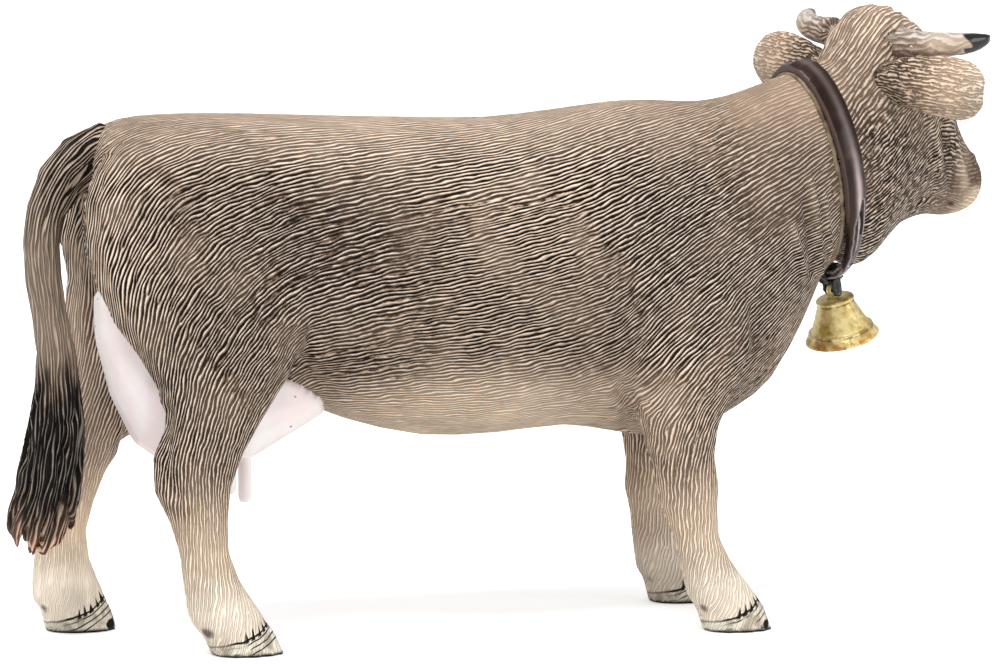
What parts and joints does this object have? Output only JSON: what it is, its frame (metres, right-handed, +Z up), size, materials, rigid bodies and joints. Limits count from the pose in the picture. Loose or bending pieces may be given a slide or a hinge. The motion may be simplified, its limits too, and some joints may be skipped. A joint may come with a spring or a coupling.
{
  "type": "toy farm animal figure",
  "caption": "Standing toy dairy cow, its head turned aside, with horns, ears, tail and udder set into a hollow body, and a collar from which a small bell hangs and swings.",
  "frame": {"origin": "on the ground under the middle of the whole figure's box", "axes": "+X towards the front of the cow, +Y to its left, +Z up"},
  "size_m": [0.1462, 0.0408, 0.0844],
  "materials": {
    "hide": "moulded hair, painted beige-grey with dark grooves and pale ridges",
    "horn": "cream with grey-brown streaks and a glossy black tip",
    "ear": "moulded hair, painted cream and beige",
    "udder": "smooth pale pink paint",
    "strap": "dark brown gloss paint",
    "hanger": "black gloss paint",
    "bell": "gold metallic paint"
  },
  "bodies": {
    "figure": {"body_right_shell": "hide", "body_left_shell": "hide", "head": "hide", "horn_right": "horn", "horn_left": "horn", "ear_right": "ear", "ear_left": "ear", "tail": "hide", "udder": "udder", "collar_strap": "strap"},
    "hanger": {"bell_hanger": "hanger"},
    "bell": {"bell": "bell"}
  },
  "joints": [
    {"name": "hanger_rock", "type": "hinge", "parent": "figure", "child": "hanger", "pos_m": [0.04541, 0.00203, 0.04678], "axis": [0.9098, 0.3265, 0.2562], "range_deg": [-10, 10]},
    {"name": "bell_swing", "type": "hinge", "parent": "hanger", "child": "bell", "pos_m": [0.04594, 0.00239, 0.04443], "axis": [-0.3527, 0.9336, 0.0631], "range_deg": [-40, 4]}
  ]
}
